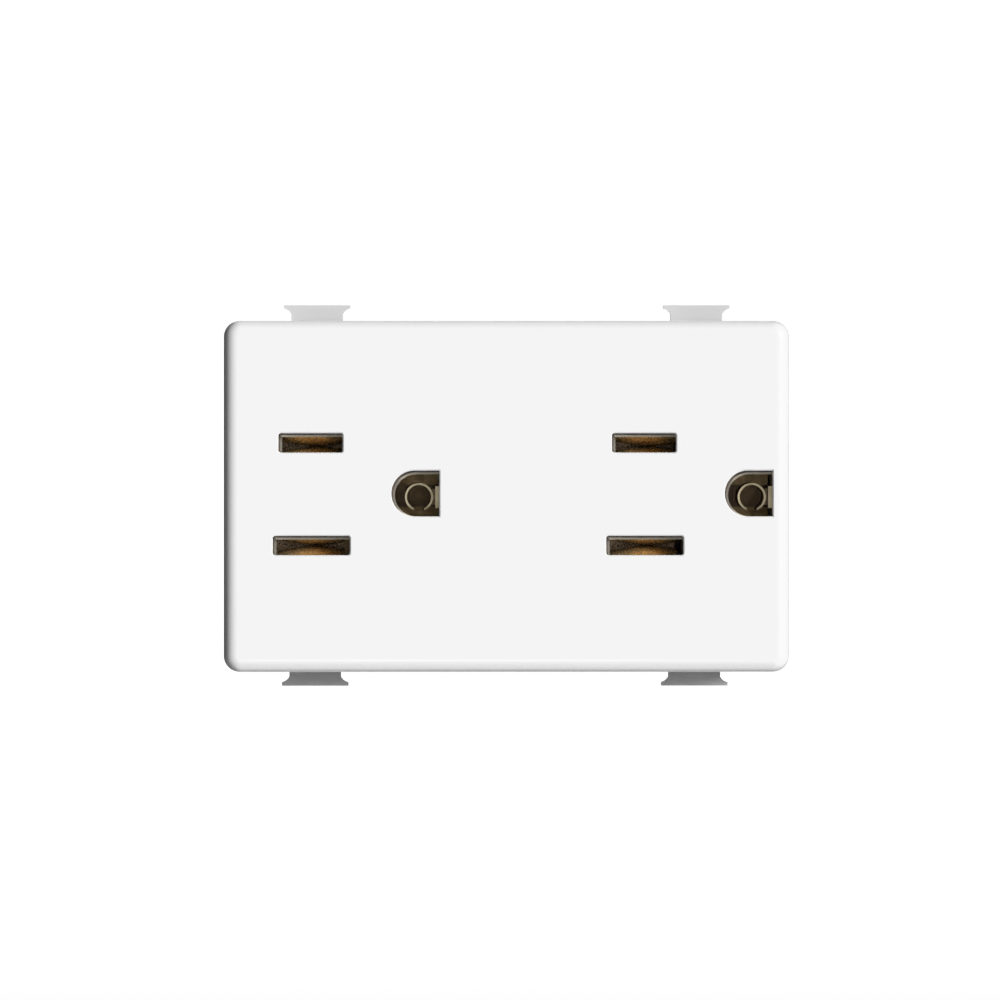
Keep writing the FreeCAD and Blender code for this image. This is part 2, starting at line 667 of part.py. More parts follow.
def earth_sleeve(name, contact_x):
    """Split sleeve that grips a plug's earth pin, on a stem that runs back to the earth bus bar."""
    body = new_body(name, sleeve_axis(contact_x), -dim.sleeve_drop)
    stem_outer = dim.stem_inner + dim.stem_gauge
    half = dim.stem_width / 2

    stem = at_depth(body, -dim.stem_front)
    span(stem, dim.stem_inner, stem_outer, -half, half)
    pad_back(body, stem, dim.stem_front + dim.earth_bus_front)
    foot = at_depth(body, dim.earth_bus_front - dim.stem_gauge)
    span(foot, -stem_outer, stem_outer, -half, half)
    pad_back(body, foot, dim.stem_gauge)
    web = at_depth(body, -dim.sleeve_front / 2)
    outer = dim.sleeve_bore + dim.sleeve_gauge
    rise = dim.web_height / 2
    span(web, outer - dim.sleeve_gauge / 2, dim.stem_inner + OVERLAP, -rise, rise)
    pad_back(body, web, dim.sleeve_length / 2)

    tube = at_depth(body, -dim.sleeve_front)
    circle(tube, 0, 0, outer)
    pad_back(body, tube, dim.sleeve_length)
    bore = at_depth(body, -dim.sleeve_front - OVERCUT)
    circle(bore, 0, 0, dim.sleeve_bore)
    cut_back(body, bore, dim.sleeve_length + 2 * OVERCUT)
    slit = at_depth(body, -dim.sleeve_front - OVERCUT)
    half = dim.sleeve_slit / 2
    span(slit, -half, half, -outer - OVERCUT, -dim.sleeve_bore / 2)
    cut_back(body, slit, dim.sleeve_length + 2 * OVERCUT)
    hole = at_depth(body, dim.earth_bus_front - dim.stem_gauge - OVERCUT)
    circle(hole, 0, 0, dim.rivet_radius)
    cut_back(body, hole, dim.stem_gauge + 2 * OVERCUT)


# ---------------------------------------------------------------- bus bars and terminals


def bus_bar(pole, front, ends, rivets, pads=False):
    """Strip across both outlets, with a tab that runs back and turns down into the terminal, and
    with wider pads around the rivets where what it carries is wider than the strip."""
    body = new_body(f"{pole}_bus_bar")
    terminal_x = TERMINALS[pole]
    centre_z = BUS_LEVELS[pole]
    half = dim.bus_width / 2
    strip = at_depth(body, front)
    span(strip, ends[0], ends[1], centre_z - half, centre_z + half)
    pad_back(body, strip, dim.bus_gauge)
    if pads:
        wide = at_depth(body, front)
        reach = dim.pad_height / 2
        for x in rivets:
            span(wide, x - dim.pad_left, x + dim.pad_right, centre_z - reach, centre_z + reach)
        pad_back(body, wide, dim.bus_gauge)
    top = centre_z + half
    leg = at_depth(body, front)
    left, right = terminal_x - dim.tab_width / 2, terminal_x + dim.tab_width / 2
    span(leg, left, right, top - dim.bus_gauge, top)
    pad_back(body, leg, dim.flange_rear - front)
    flange = at_depth(body, dim.flange_rear - dim.bus_gauge)
    reach = dim.clamp_height / 2
    span(flange, terminal_x - reach, terminal_x + reach, -dim.terminal_drop - reach, top)
    pad_back(body, flange, dim.bus_gauge)
    tapped = at_depth(body, dim.flange_rear - dim.bus_gauge - OVERCUT)
    circle(tapped, terminal_x, -dim.terminal_drop, dim.thread_bore)
    cut_back(body, tapped, dim.bus_gauge + 2 * OVERCUT)
    holes = at_depth(body, front - OVERCUT)
    for x in rivets:
        circle(holes, x, centre_z, dim.rivet_radius)
    cut_back(body, holes, dim.bus_gauge + 2 * OVERCUT)

    def bend(edge):
        return on_plane(edge, 1, dim.flange_rear.number) and on_plane(edge, 2, top.number)

    dress(body, "Fillet", dim.bend_radius, bend)


def terminal_nut(pole):
    """Square nut on the front of the flange, which the terminal screw threads into."""
    body = new_body(f"{pole}_terminal_nut", TERMINALS[pole], -dim.terminal_drop)
    front = dim.flange_rear - dim.bus_gauge - dim.nut_height
    blank = at_depth(body, front)
    rectangle(blank, 0, 0, dim.nut_size, dim.nut_size)
    pad_back(body, blank, dim.nut_height)
    dress(body, "Chamfer", dim.nut_bevel, lambda e: along(e, 1))
    bore = at_depth(body, front - OVERCUT)
    circle(bore, 0, 0, dim.thread_bore)
    cut_back(body, bore, dim.nut_height + 2 * OVERCUT)


def clamp_plate(pole):
    """Plate under the screw head that presses the wires onto the flange, grooved on that side."""
    body = new_body(f"{pole}_clamp_plate", TERMINALS[pole], -dim.terminal_drop)
    front = dim.flange_rear + dim.wire_gap
    blank = at_depth(body, front)
    rectangle(blank, 0, 0, dim.clamp_width, dim.clamp_height)
    pad_back(body, blank, dim.clamp_gauge)
    dress(body, "Fillet", dim.clamp_corner, lambda e: along(e, 1))
    bore = at_depth(body, front - OVERCUT)
    circle(bore, 0, 0, dim.clamp_bore)
    cut_back(body, bore, dim.clamp_gauge + 2 * OVERCUT)
    grooves = at_depth(body, front - OVERCUT)
    for step in (-1, 0, 1):
        for side in (-1, 1):
            x, z = side * dim.wire_reach, step * dim.clamp_height / 4
            rectangle(grooves, x, z, dim.groove_length, dim.groove_width)
    cut_back(body, grooves, dim.groove_depth + OVERCUT)


def terminal_screw(pole):
    """Terminal screw, turned about its axis, with a slot across a cross recess."""
    body = new_body(f"{pole}_terminal_screw", TERMINALS[pole], -dim.terminal_drop)
    seat = dim.flange_rear + dim.wire_gap + dim.clamp_gauge
    top, tip = seat + dim.head_height, seat - dim.screw_length
    profile = sketch_on(body, "YZ_Plane", 0)
    outline(
        profile,
        [
            (tip, 0),
            (top, 0),
            (top, dim.head_radius - dim.head_crown),
            (top - dim.head_crown, dim.head_radius),
            (seat, dim.head_radius),
            (seat, dim.screw_radius),
            (tip + dim.tip_bevel, dim.screw_radius),
            (tip, dim.screw_radius - dim.tip_bevel),
        ],
        {2: (dim.crown_radius, -1, None)},
    )
    turned = body.newObject("PartDesign::Revolution", "turned")
    turned.Profile = profile
    turned.ReferenceAxis = (profile, ["H_Axis"])
    turned.Angle = 360
    doc.recompute()
    if not turned.isValid() or turned.Shape.Volume <= 0:
        raise RuntimeError(f"{body.Label}: the turned profile failed")
    slot = at_depth(body, top - dim.slot_depth)
    rectangle(slot, 0, 0, 2 * (dim.head_radius + OVERCUT), dim.slot_width)
    cut_back(body, slot, dim.slot_depth + OVERCUT)
    cross = at_depth(body, top - dim.cross_depth)
    arm, half = dim.cross_reach / 2, dim.cross_width / 2
    outline(
        cross,
        [
            (half, -arm),
            (half, -half),
            (arm, -half),
            (arm, half),
            (half, half),
            (half, arm),
            (-half, arm),
            (-half, half),
            (-arm, half),
            (-arm, -half),
            (-half, -half),
            (-half, -arm),
        ],
    )
    cut_back(body, cross, dim.cross_depth + OVERCUT)


# ---------------------------------------------------------------- latches


def latch(name, x, flipped):
    """Snap latch: a round root, an arm that runs forward, and a ramped T-shaped lug."""
    body = new_body(name, x, 0, flipped)
    front, top = dim.latch_front, dim.latch_top
    root_y, root_z, gauge = dim.pivot_depth, dim.pivot_height, dim.latch_gauge
    stem, head = dim.latch_stem / 2, dim.latch_head / 2
    arm_top, arm_low = root_z + gauge / 2, root_z - gauge / 2

    lug = at_depth(body, front)
    neck, bar = top - dim.latch_neck, top - dim.latch_bar
    outline(
        lug,
        [
            (-stem, arm_low),
            (stem, arm_low),
            (stem, neck),
            (head, bar),
            (head, top),
            (-head, top),
            (-head, bar),
            (-stem, neck),
        ],
        {2: (dim.neck_radius, -1, None), 6: (dim.neck_radius, -1, None)},
    )
    pad_back(body, lug, dim.latch_depth)

    ramps = sketch_on(body, "YZ_Plane", 0)
    above, ahead, behind = top + OVERCUT, front - OVERCUT, front + dim.latch_depth + OVERCUT
    foot = top - dim.catch_rise
    outline(
        ramps,
        [
            (ahead, foot),
            (front, foot),
            (front + dim.catch_run, top),
            (front + dim.catch_run, above),
            (ahead, above),
        ],
    )
    crest = front + dim.crest_end
    outline(
        ramps,
        [
            (crest, top),
            (crest + dim.entry_run, arm_top),
            (behind, arm_top),
            (behind, above),
            (crest, above),
        ],
    )
    extrude(body, "Pocket", ramps, dim.latch_head + 2 * OVERCUT, False, midplane=True)

    arm = sketch_on(body, "YZ_Plane", 0)
    span(arm, crest, root_y, arm_low, arm_top)
    extrude(body, "Pad", arm, dim.latch_stem, False, midplane=True)
    root = sketch_on(body, "YZ_Plane", 0)
    circle(root, root_y, root_z, dim.pivot_radius)
    extrude(body, "Pad", root, dim.latch_stem, False, midplane=True)


# ---------------------------------------------------------------- rear housing


def housing_cavity(body):
    """Room for the insulator, widened between the latches, and posts that hold the insulator forward."""
    cavity = at_depth(body, -dim.side_rim_step - OVERCUT)
    wide = dim.housing_width / 2 - dim.housing_side
    low = dim.carrier_height / 2 + dim.carrier_room
    narrow = dim.latch_x - dim.latch_stem / 2 - dim.recess_side - dim.recess_wall
    high = dim.housing_height / 2 - dim.housing_wall
    outline(
        cavity,
        [
            (-wide, -low),
            (-narrow, -low),
            (-narrow, -high),
            (narrow, -high),
            (narrow, -low),
            (wide, -low),
            (wide, low),
            (narrow, low),
            (narrow, high),
            (-narrow, high),
            (-narrow, low),
            (-wide, low),
        ],
    )
    floor = dim.housing_depth - dim.housing_wall
    cut_back(body, cavity, floor + dim.side_rim_step + OVERCUT)
    posts = at_depth(body, dim.carrier_rear)
    for x in (-dim.post_x, dim.post_x):
        for z in (-dim.post_z, dim.post_z):
            rectangle(posts, x, z, dim.post_width, dim.post_height)
    pad_back(body, posts, dim.housing_depth - dim.carrier_rear)


def terminal_chambers(body):
    """Three chambers open to the front, each with a rear window and a wire entry in the lower side."""
    floor = dim.housing_depth - dim.housing_wall
    low = -dim.housing_height / 2 + dim.entry_wall
    half = dim.chamber_width / 2
    chambers = at_depth(body, floor - OVERCUT)
    for x in TERMINALS.values():
        span(chambers, x - half, x + half, low, dim.clamp_space_top)
    cut_back(body, chambers, dim.total_depth - dim.rear_wall - floor + OVERCUT)
    risers = at_depth(body, floor - OVERCUT)
    for pole, x in TERMINALS.items():
        span(risers, x - half, x + half, dim.clamp_space_top - OVERLAP, riser_top(pole))
    cut_back(body, risers, dim.flange_rear + dim.riser_depth - floor + OVERCUT)

    windows = at_depth(body, dim.total_depth - dim.rear_wall - OVERCUT)
    for x in TERMINALS.values():
        rectangle(windows, x, -dim.terminal_drop, dim.window_width, dim.window_height)
    cut_back(body, windows, dim.rear_wall + 2 * OVERCUT)
    rear = dim.total_depth.number
    wall = dim.rear_wall.number
    outer = block_reach().number - EDGE_MATCH

    def window_corner(edge):
        if not along(edge, 1) or abs(edge.Length - wall) > EDGE_MATCH:
            return False
        return abs(edge.BoundBox.YMax - rear) < EDGE_MATCH and abs(edge.CenterOfMass.x) < outer

    dress(body, "Fillet", dim.window_corner, window_corner)

    entries = sketch_on(body, "XY_Plane", low + OVERCUT)
    middle = dim.flange_rear + dim.wire_gap / 2
    radius, reach = dim.entry_radius, dim.wire_reach
    for x in TERMINALS.values():
        left, right = x - reach, x + reach
        near, far = middle - radius, middle + radius
        outline(
            entries,
            [(left, near), (right, near), (right, far), (left, far)],
            {1: (radius, 1, right), 3: (radius, 1, left)},
        )
    extrude(body, "Pocket", entries, dim.entry_wall + 2 * OVERCUT, False)
    bottom = -dim.housing_height.number / 2
    stage_rear = dim.housing_depth.number

    def entry_edge(edge):
        box = edge.BoundBox
        return on_plane(edge, 2, bottom) and box.YMin > stage_rear + wall and box.YMax < rear - wall

    dress(body, "Chamfer", dim.entry_bevel, entry_edge)


def latch_recesses(body):
    """Room for each latch's arm to swing in, and a round seat for its root."""
    width = dim.latch_stem + 2 * dim.recess_side
    seat_radius = dim.pivot_radius + dim.pivot_play
    mouth = seat_radius - dim.seat_rim
    front = -dim.side_rim_step
    lip = dim.pivot_depth - dim.seat_lip
    outside = dim.housing_height / 2 + OVERCUT
    for place, x in LATCHES.items():
        level = -1 if place.startswith("bottom") else 1
        room = sketch_on(body, "YZ_Plane", x)
        outline(
            room,
            [
                (front, level * dim.recess_floor),
                (dim.pivot_depth - dim.recess_foot, level * dim.recess_floor),
                (lip, level * (dim.pivot_height - mouth)),
                (lip, level * (dim.pivot_height + mouth)),
                (dim.pivot_depth - dim.recess_back, level * outside),
                (front, level * outside),
            ],
        )
        extrude(body, "Pocket", room, width, False, midplane=True)
        seat = sketch_on(body, "YZ_Plane", x)
        circle(seat, dim.pivot_depth, level * dim.pivot_height, seat_radius)
        extrude(body, "Pocket", seat, width, False, midplane=True)


def rear_housing():
    """Rear shell: a stage that holds the insulator and latches, and the terminal block behind it."""
    body = new_body("rear_housing")
    stage = at_depth(body, 0)
    rectangle(stage, 0, 0, dim.housing_width, dim.housing_height)
    pad_back(body, stage, dim.housing_depth)
    rims = at_depth(body, -dim.side_rim_step)
    inner, outer = dim.housing_width / 2 - dim.housing_side, dim.housing_width / 2
    half = dim.housing_height / 2
    span(rims, -outer, -inner, -half, half)
    span(rims, inner, outer, -half, half)
    pad_back(body, rims, dim.side_rim_step + OVERLAP)

    reach = block_reach()
    upper_top = riser_top("hot") + dim.block_wall
    upper = at_depth(body, dim.housing_depth)
    span(upper, -reach, reach, -half, upper_top)
    pad_back(body, upper, step_depth() - dim.housing_depth)
    lower = at_depth(body, step_depth())
    span(lower, -reach, reach, -half, dim.clamp_space_top + dim.block_wall)
    pad_back(body, lower, dim.total_depth - step_depth())

    ribs = at_depth(body, dim.housing_depth)
    for side in (-1, 1):
        for step in (-1, 0, 1):
            x = side * (dim.end_rib_x + step * dim.end_rib_pitch)
            rectangle(ribs, x, 0, dim.rib_width, dim.end_rib_length)
    for step in (-2, -1, 0, 1, 2):
        x = step * dim.top_rib_pitch
        left, right = x - dim.rib_width / 2, x + dim.rib_width / 2
        span(ribs, left, right, upper_top - OVERLAP, half - dim.top_rib_margin)
    pad_back(body, ribs, dim.rib_height)

    rear = dim.total_depth.number
    stage_rear = dim.housing_depth.number

    def outer_edge(edge):
        if on_plane(edge, 1, rear):
            return True
        if along(edge, 1) and edge.BoundBox.YMin > stage_rear - EDGE_MATCH:
            return abs(abs(edge.CenterOfMass.x) - reach.number) < EDGE_MATCH
        if on_plane(edge, 1, step_depth().number) and on_plane(edge, 2, upper_top.number):
            return True
        if not on_plane(edge, 1, stage_rear):
            return False
        sides = on_plane(edge, 0, outer.number) or on_plane(edge, 0, -outer.number)
        return sides or on_plane(edge, 2, half.number)

    dress(body, "Chamfer", dim.housing_bevel, outer_edge)
    housing_cavity(body)
    terminal_chambers(body)
    latch_recesses(body)
    holes = at_depth(body, -OVERCUT)
    for x, z in screw_points():
        circle(holes, x, z, dim.clearance_radius)
    cut_back(body, holes, dim.housing_depth + 2 * OVERCUT)
    wells = at_depth(body, dim.housing_depth - dim.counterbore_depth)
    for x, z in screw_points():
        circle(wells, x, z, dim.cover_screw_head + dim.head_play)
    cut_back(body, wells, dim.counterbore_depth + OVERCUT)


# ---------------------------------------------------------------- fasteners, one node for each kind


def rod(name, x, y, z, radius, length):
    """A cylinder that runs towards the wall from (x, y, z)."""
    cylinder = doc.addObject("Part::Cylinder", name)
    bind(cylinder, "Radius", radius)
    bind(cylinder, "Height", length)
    cylinder.Placement = FreeCAD.Placement(Vector(), FreeCAD.Rotation(Vector(1, 0, 0), -90))
    set_base(cylinder, x, y, z)
    return cylinder


def fused(name, pieces):
    """One solid from several Part objects."""
    joined = doc.addObject("Part::MultiFuse", name)
    joined.Shapes = pieces
    return joined


def group(label, members):
    """A node that holds separate, identical solids."""
    compound = doc.addObject("Part::Compound", label)
    compound.Label = label
    compound.Links = members
    parts.append(compound)


def rivet(x, z, front, grip):
    """Rivet through grip millimetres of sheet, from depth front, with a low head on each side."""
    head = dim.rivet_head_radius
    low = front - dim.rivet_head
    pieces = [
        rod("front_head", x, low, z, head, dim.rivet_head),
        rod("shank", x, front, z, dim.rivet_radius, grip),
        rod("rear_head", x, front + grip, z, head, dim.rivet_head),
    ]
    return fused("rivet", pieces)


def bus_rivets():
    """Six rivets: one at the base of each blade contact and one in the foot of each earth sleeve."""
    members = []
    for contact_x in OUTLETS.values():
        for contact_z in POLES.values():
            grip = dim.contact_base + dim.bus_gauge
            members.append(rivet(contact_x, contact_z, dim.carrier_rear, grip))
        sleeve_x = sleeve_axis(contact_x)
        foot = dim.earth_bus_front - dim.stem_gauge
        grip = dim.stem_gauge + dim.bus_gauge
        members.append(rivet(sleeve_x, -dim.sleeve_drop, foot, grip))
    group("bus_rivets", members)


def cover_screws():
    """Four self-tapping screws from the rear housing into the cover's bosses."""
    members = []
    for x, z in screw_points():
        seat = dim.housing_depth - dim.counterbore_depth
        shank = rod(
            "shank",
            x,
            -dim.cover_screw_reach,
            z,
            dim.pilot_radius - dim.thread_cover,
            dim.cover_screw_reach + seat + OVERLAP,
        )
        head = rod("head", x, seat, z, dim.cover_screw_head, dim.cover_screw_head_height)
        blank = fused("screw_blank", [shank, head])
        recess = []
        arm, slot = dim.recess_arm, dim.recess_slot
        for across, up in ((arm, slot), (slot, arm)):
            box = doc.addObject("Part::Box", "recess_arm")
            bind(box, "Length", across)
            bind(box, "Height", up)
            bind(box, "Width", dim.recess_depth + OVERCUT)
            depth = seat + dim.cover_screw_head_height - dim.recess_depth
            set_base(box, x - across / 2, depth, z - up / 2)
            recess.append(box)
        screw = doc.addObject("Part::Cut", "cover_screw")
        screw.Base = blank
        screw.Tool = fused("recess", recess)
        members.append(screw)
    group("cover_screws", members)


# ---------------------------------------------------------------- the assembly


def build():
    front_cover()
    contact_carrier()
    for side, x in OUTLETS.items():
        for pole, z in POLES.items():
            blade_contact(f"{side}_{pole}_contact", x, z)
        earth_sleeve(f"{side}_earth_sleeve", x)
    first, last = OUTLETS["left"], OUTLETS["right"]
    ends = first - dim.leaf_right, last + dim.leaf_right
    for pole in POLES:
        bus_bar(pole, dim.carrier_rear + dim.contact_base, ends, list(OUTLETS.values()))
    sleeves = [sleeve_axis(x) for x in OUTLETS.values()]
    earth_ends = sleeves[0] - dim.pad_left, sleeves[1] + dim.pad_right
    bus_bar("earth", dim.earth_bus_front, earth_ends, sleeves, pads=True)
    for pole in TERMINALS:
        terminal_nut(pole)
        clamp_plate(pole)
        terminal_screw(pole)
    for place, x in LATCHES.items():
        latch(f"{place}_latch", x, place.startswith("bottom"))
    rear_housing()
    bus_rivets()
    cover_screws()
    doc.recompute()


def write_parts():
    """Checks every object and every sub-part's shape, then writes one STEP file for each sub-part."""
    for item in doc.Objects:
        if "Invalid" in item.State or "Error" in item.State:
            raise RuntimeError(f"{item.Label} is {item.State}")
    for part in parts:
        if part.Shape.isNull() or not part.Shape.isValid() or not part.Shape.Solids:
            raise RuntimeError(f"{part.Label} has no valid shape")
    os.makedirs("parts", exist_ok=True)
    for part in parts:
        part.Shape.exportStep(f"parts/{part.Label}.step")
        print(f"{part.Label}: {len(part.Shape.Solids)} solid(s), {part.Shape.Volume:.1f} mm3")


build()
write_parts()
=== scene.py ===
"""The looks of the duplex wall outlet: materials, screw threads, studio and camera. All in metres."""

import json
import math

import bpy
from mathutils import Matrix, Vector


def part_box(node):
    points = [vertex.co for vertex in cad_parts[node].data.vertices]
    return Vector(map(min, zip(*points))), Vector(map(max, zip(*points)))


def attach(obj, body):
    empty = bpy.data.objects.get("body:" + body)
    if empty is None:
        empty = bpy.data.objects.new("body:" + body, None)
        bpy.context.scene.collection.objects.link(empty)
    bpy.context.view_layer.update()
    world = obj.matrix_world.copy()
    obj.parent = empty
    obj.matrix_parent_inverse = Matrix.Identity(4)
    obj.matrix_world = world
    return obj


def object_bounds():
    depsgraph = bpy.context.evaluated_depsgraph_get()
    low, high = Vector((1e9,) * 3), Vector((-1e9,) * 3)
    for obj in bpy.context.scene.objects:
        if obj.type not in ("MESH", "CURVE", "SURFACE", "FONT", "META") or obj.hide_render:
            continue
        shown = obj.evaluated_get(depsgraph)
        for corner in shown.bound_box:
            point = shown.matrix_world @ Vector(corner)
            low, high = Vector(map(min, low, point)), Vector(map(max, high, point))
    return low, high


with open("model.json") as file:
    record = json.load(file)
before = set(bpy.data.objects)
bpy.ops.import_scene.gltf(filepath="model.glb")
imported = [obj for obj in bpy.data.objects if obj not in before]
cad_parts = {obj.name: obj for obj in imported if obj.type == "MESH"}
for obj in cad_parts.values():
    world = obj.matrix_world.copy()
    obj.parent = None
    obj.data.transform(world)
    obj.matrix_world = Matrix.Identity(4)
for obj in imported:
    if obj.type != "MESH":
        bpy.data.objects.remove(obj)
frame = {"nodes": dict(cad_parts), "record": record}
cad_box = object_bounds()
nodes = frame["nodes"]
scene = bpy.context.scene
MM = 0.001


# ---------------------------------------------------------------- material building


class Paint:
    """A material being built: its node tree, its shader and the piece's own coordinates."""

    def __init__(self, name, colour, roughness, metallic=0.0, ior=1.5):
        self.material = bpy.data.materials.new(name)
        self.material.use_nodes = True
        self.tree = self.material.node_tree
        self.shader = self.tree.nodes["Principled BSDF"]
        self.set("Base Color", (*colour, 1.0))
        self.set("Roughness", roughness)
        self.set("Metallic", metallic)
        self.set("IOR", ior)
        self.place = self.node("ShaderNodeTexCoord").outputs["Object"]
        self.relief = None

    def set(self, socket, value):
        self.shader.inputs[socket].default_value = value

    def feed(self, socket, source):
        self.tree.links.new(source, self.shader.inputs[socket])

    def node(self, kind, inputs=None, **settings):
        made = self.tree.nodes.new(kind)
        for key, value in settings.items():
            setattr(made, key, value)
        for key, value in (inputs or {}).items():
            if isinstance(value, bpy.types.NodeSocket):
                self.tree.links.new(value, made.inputs[key])
            else:
                made.inputs[key].default_value = value
        return made

    def noise(self, size_mm, detail=2.0, stretch=(1, 1, 1), distortion=0.0):
        """Noise whose features are about size_mm, drawn out along an axis by stretch."""
        scale = [1 / s for s in stretch]
        place = self.node("ShaderNodeMapping", {"Vector": self.place, "Scale": scale}).outputs[0]
        inputs = {"Vector": place, "Scale": 1 / (size_mm * MM), "Detail": detail}
        inputs["Distortion"] = distortion
        return self.node("ShaderNodeTexNoise", inputs).outputs[0]

    def ramp(self, source, low, high, from_low=0.3, from_high=0.7):
        """Maps a value smoothly from one range to another."""
        inputs = {"Value": source, "From Min": from_low, "From Max": from_high}
        inputs |= {"To Min": low, "To Max": high}
        return self.node("ShaderNodeMapRange", inputs, interpolation_type="SMOOTHSTEP").outputs[0]

    def mix(self, factor, first, second):
        """Blends two colours, each a triple or a socket."""
        made = self.node("ShaderNodeMix", data_type="RGBA")
        for place, value in ((0, factor), (6, first), (7, second)):
            if isinstance(value, bpy.types.NodeSocket):
                self.tree.links.new(value, made.inputs[place])
            else:
                made.inputs[place].default_value = (*value, 1.0)
        return made.outputs[2]

    def calculate(self, operation, first, second):
        return self.node("ShaderNodeMath", {0: first, 1: second}, operation=operation).outputs[0]

    def bump(self, height, depth_mm, strength=1.0):
        """Adds relief; the height's whole range is depth_mm."""
        inputs = {"Height": height, "Distance": depth_mm * MM, "Strength": strength}
        if self.relief:
            inputs["Normal"] = self.relief
        self.relief = self.node("ShaderNodeBump", inputs).outputs[0]
        self.feed("Normal", self.relief)

    def edges(self, radius_mm):
        """1 at sharp edges, 0 on faces."""
        soft = self.node("ShaderNodeBevel", {"Radius": radius_mm * MM}, samples=4).outputs[0]
        hard = self.node("ShaderNodeNewGeometry").outputs["Normal"]
        dot = self.node("ShaderNodeVectorMath", {0: soft, 1: hard}, operation="DOT_PRODUCT")
        return self.ramp(dot.outputs["Value"], 1.0, 0.0, 0.75, 0.99)

    def tilt(self, axis):
        """0 where the surface runs along an axis, 1 where it faces along it."""
        normal = self.node("ShaderNodeNewGeometry").outputs["True Normal"]
        along = self.node("ShaderNodeSeparateXYZ", {0: normal}).outputs[axis]
        return self.calculate("MULTIPLY", along, along)

    def bevels(self):
        """1 on faces at 45 degrees to the front, 0 on faces along or across it."""
        off = self.calculate("ABSOLUTE", self.calculate("SUBTRACT", self.tilt("Y"), 0.5), 0.0)
        return self.ramp(off, 1.0, 0.0, 0.1, 0.3)

    def behind(self, depth, fade_mm):
        """0 ahead of a depth along Y, 1 from fade_mm behind it."""
        y = self.node("ShaderNodeSeparateXYZ", {0: self.place}).outputs["Y"]
        return self.ramp(y, 0.0, 1.0, depth, depth + fade_mm * MM)


def cover_plastic():
    """Glossy white moulded plastic: faint orange peel, a few hairlines, fine variation of gloss."""
    paint = Paint("cover_plastic", (0.9, 0.9, 0.9), 0.2)
    cloud = paint.noise(9, 3)
    paint.feed("Base Color", paint.mix(cloud, (0.885, 0.885, 0.885), (0.9, 0.9, 0.9)))
    hairline = paint.noise(0.35, 4, (30, 1, 1), 0.4)
    paint.feed("Roughness", paint.ramp(hairline, 0.17, 0.24))
    paint.bump(paint.noise(1.6, 1), 0.004)
    paint.bump(hairline, 0.0006)
    paint.set("Coat Weight", 0.15)
    paint.set("Coat Roughness", 0.08)
    return paint.material


def latch_plastic():
    """Grey-white moulded plastic, satin, slightly scuffed where it rubs the frame."""
    paint = Paint("latch_plastic", (0.6, 0.6, 0.6), 0.35)
    scuff = paint.calculate("MULTIPLY", paint.edges(0.25), paint.noise(0.5, 4))
    paint.feed("Base Color", paint.mix(scuff, (0.59, 0.59, 0.59), (0.68, 0.68, 0.675)))
    paint.feed("Roughness", paint.ramp(paint.noise(0.6, 3), 0.3, 0.42))
    paint.bump(paint.noise(0.25, 2), 0.004)
    return paint.material


def housing_plastic():
    """Light plastic with a fine eroded texture and weak flow marks."""
    paint = Paint("housing_plastic", (0.78, 0.78, 0.765), 0.5)
    flow = paint.noise(7, 3, (1, 1, 3), 1.2)
    worn = paint.calculate("MULTIPLY", paint.edges(0.3), paint.noise(0.8, 3))
    body = paint.mix(flow, (0.76, 0.76, 0.745), (0.8, 0.8, 0.785))
    paint.feed("Base Color", paint.mix(worn, body, (0.86, 0.86, 0.85)))
    paint.feed("Roughness", paint.ramp(flow, 0.46, 0.58))
    paint.bump(paint.noise(0.28, 3), 0.018)
    return paint.material


def carrier_resin():
    """Dark brown thermoset with the mottling of its filler. The bevelled rims of its openings carry a
    painted highlight in pale beige, brightest where they face up or down."""
    paint = Paint("carrier_resin", (0.08, 0.06, 0.045), 0.25)
    mottle = paint.noise(0.7, 5, distortion=0.6)
    body = paint.mix(mottle, (0.055, 0.042, 0.034), (0.1, 0.074, 0.053))
    # painted highlight: the opening bevels are tinted pale beige, far paler where they face up or down,
    # in place of light catching them
    level = paint.ramp(paint.tilt("Z"), 0.0, 1.0, 0.1, 0.5)
    painted_lip_highlight = paint.mix(level, (0.17, 0.155, 0.13), (0.62, 0.56, 0.46))
    paint.feed("Base Color", paint.mix(paint.bevels(), body, painted_lip_highlight))
    paint.feed("Roughness", paint.ramp(mottle, 0.2, 0.34))
    paint.bump(paint.noise(0.3, 3), 0.006)
    return paint.material


def brass(name, light, dark, grain, roughness, metallic=1.0, shade_behind=None):
    """Rolled brass sheet: rolling lines along grain and brown tarnish in patches. Given a depth along Y
    and a fade in mm as its last argument, the sheet turns a darker brown behind that depth: painted
    shade deep in its pocket. Otherwise its edges are bright."""
    paint = Paint(name, light, roughness, metallic=metallic)
    tarnish = paint.ramp(paint.noise(2.2, 4, distortion=0.8), 0.0, 1.0, 0.35, 0.65)
    lines = paint.noise(0.2, 3, grain)
    sheet = paint.mix(tarnish, light, dark)
    if shade_behind is None:
        bright = tuple(min(1.0, c * 1.25) for c in light)
        sheet = paint.mix(paint.edges(0.08), sheet, bright)
    else:
        # painted shade: behind the given depth the brass is darkened, as if in the shade of its pocket
        painted_depth_shade = paint.mix(tarnish, (0.44, 0.32, 0.2), (0.33, 0.24, 0.15))
        sheet = paint.mix(paint.behind(*shade_behind), sheet, painted_depth_shade)
    paint.feed("Base Color", sheet)
    paint.feed("Roughness", paint.ramp(lines, roughness - 0.06, roughness + 0.08))
    paint.bump(lines, 0.0012)
    return paint.material


